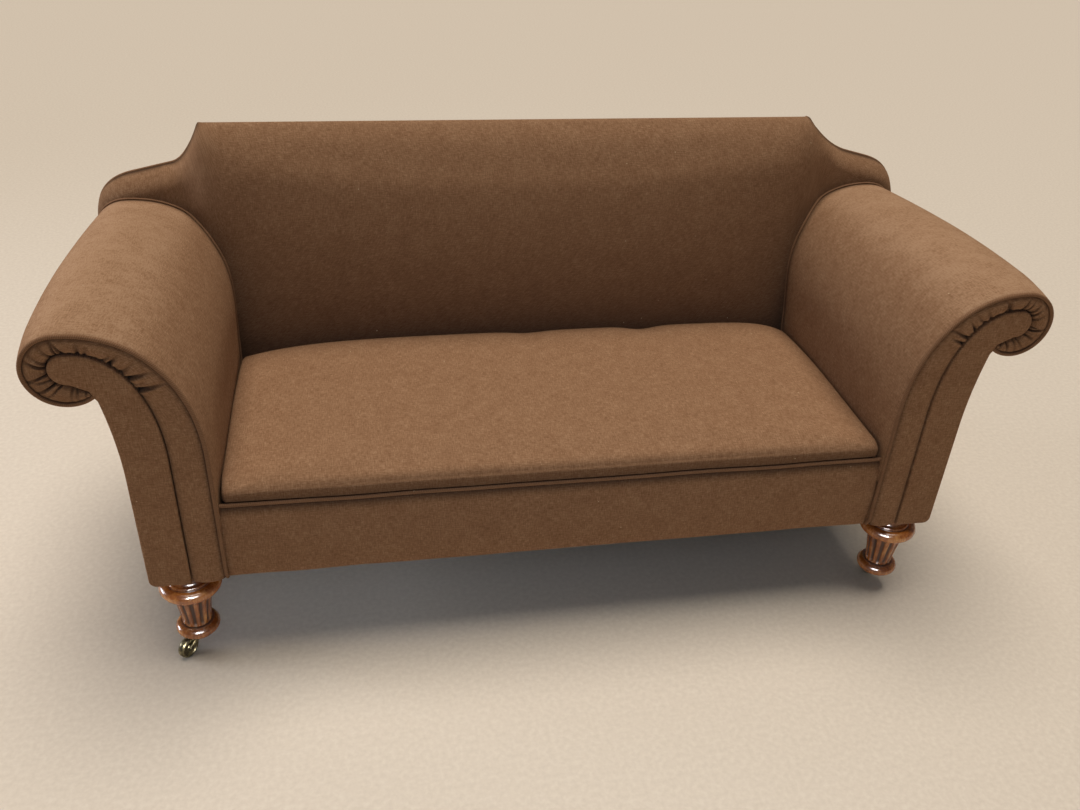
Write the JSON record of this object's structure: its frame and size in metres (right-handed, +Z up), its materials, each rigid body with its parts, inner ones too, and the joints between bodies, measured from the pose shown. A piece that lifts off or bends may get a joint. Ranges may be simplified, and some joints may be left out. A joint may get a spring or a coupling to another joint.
{
  "type": "scroll-arm sofa",
  "caption": "Brown wool upholstered scroll-arm sofa with a smooth winged back, piped arm fronts, turned fluted legs and brass castors.",
  "frame": {"origin": "centre of the bounding box on the floor", "axes": "+X to the sitter's left, which is the right seen from the front; +Y to the back; +Z up"},
  "size_m": [1.837, 0.7646, 0.835],
  "materials": {
    "cover": "matt brown wool",
    "piping": "matt brown cord",
    "leg_timber": "polished",
    "frame_timber": "sawn beech",
    "hessian": "coarse weave",
    "lining": "thin lining",
    "spring_steel": "drawn wire",
    "brass": "aged"
  },
  "bodies": {
    "sofa": {"arm_facing_border_left": "cover", "arm_facing_border_right": "cover", "arm_facing_panel_left": "cover", "arm_facing_panel_right": "cover", "arm_front_board_left": "frame_timber", "arm_front_board_right": "frame_timber", "arm_outside_panel_left": "cover", "arm_outside_panel_right": "cover", "arm_pad_left": "cover", "arm_pad_right": "cover", "arm_piping_left": "piping", "arm_piping_right": "piping", "arm_rear_upright_left": "frame_timber", "arm_rear_upright_right": "frame_timber", "arm_top_rail_left": "frame_timber", "arm_top_rail_right": "frame_timber", "back_pad": "cover", "back_piping": "piping", "back_post_left": "frame_timber", "back_post_right": "frame_timber", "back_seat_rail": "frame_timber", "back_top_rail": "frame_timber", "castor_plate_front_left": "brass", "castor_plate_front_right": "brass", "castor_plate_rear_left": "brass", "castor_plate_rear_right": "brass", "dust_cover": "lining", "front_leg_left": "leg_timber", "front_leg_right": "leg_timber", "front_seat_rail": "frame_timber", "left_seat_rail": "frame_timber", "outside_back": "cover", "rear_leg_left": "leg_timber", "rear_leg_right": "leg_timber", "right_seat_rail": "frame_timber", "seat_front_border": "cover", "seat_pad": "cover", "seat_piping": "piping", "seat_spring_1_1": "spring_steel", "seat_spring_1_2": "spring_steel", "seat_spring_1_3": "spring_steel", "seat_spring_1_4": "spring_steel", "seat_spring_2_1": "spring_steel", "seat_spring_2_2": "spring_steel", "seat_spring_2_3": "spring_steel", "seat_spring_2_4": "spring_steel", "seat_webbing": "hessian", "spring_hessian": "hessian"},
    "castor_front_left": {"castor_horn_front_left": "brass", "castor_axle_front_left": "brass"},
    "wheel_front_left": {"castor_wheel_front_left": "brass"},
    "castor_front_right": {"castor_horn_front_right": "brass", "castor_axle_front_right": "brass"},
    "wheel_front_right": {"castor_wheel_front_right": "brass"},
    "castor_rear_left": {"castor_horn_rear_left": "brass", "castor_axle_rear_left": "brass"},
    "wheel_rear_left": {"castor_wheel_rear_left": "brass"},
    "castor_rear_right": {"castor_horn_rear_right": "brass", "castor_axle_rear_right": "brass"},
    "wheel_rear_right": {"castor_wheel_rear_right": "brass"}
  },
  "joints": [
    {"name": "swivel_front_left", "type": "hinge", "parent": "sofa", "child": "castor_front_left", "pos_m": [-0.714, -0.32385, 0.036], "axis": [0, 0, 1], "continuous": true},
    {"name": "roll_front_left", "type": "hinge", "parent": "castor_front_left", "child": "wheel_front_left", "pos_m": [-0.73493, -0.35064, 0.0215], "axis": [0.788, -0.6157, 0], "continuous": true},
    {"name": "swivel_front_right", "type": "hinge", "parent": "sofa", "child": "castor_front_right", "pos_m": [0.714, -0.32385, 0.036], "axis": [0, 0, 1], "continuous": true},
    {"name": "roll_front_right", "type": "hinge", "parent": "castor_front_right", "child": "wheel_front_right", "pos_m": [0.7199, -0.29037, 0.0215], "axis": [-0.9848, 0.1736, 0], "continuous": true},
    {"name": "swivel_rear_left", "type": "hinge", "parent": "sofa", "child": "castor_rear_left", "pos_m": [-0.685, 0.32685, 0.036], "axis": [0, 0, 1], "continuous": true},
    {"name": "roll_rear_left", "type": "hinge", "parent": "castor_rear_left", "child": "wheel_rear_left", "pos_m": [-0.685, 0.36085, 0.0215], "axis": [-1, 0, 0], "continuous": true},
    {"name": "swivel_rear_right", "type": "hinge", "parent": "sofa", "child": "castor_rear_right", "pos_m": [0.685, 0.32685, 0.036], "axis": [0, 0, 1], "continuous": true},
    {"name": "roll_rear_right", "type": "hinge", "parent": "castor_rear_right", "child": "wheel_rear_right", "pos_m": [0.70096, 0.35687, 0.0215], "axis": [-0.8829, 0.4695, 0], "continuous": true}
  ]
}
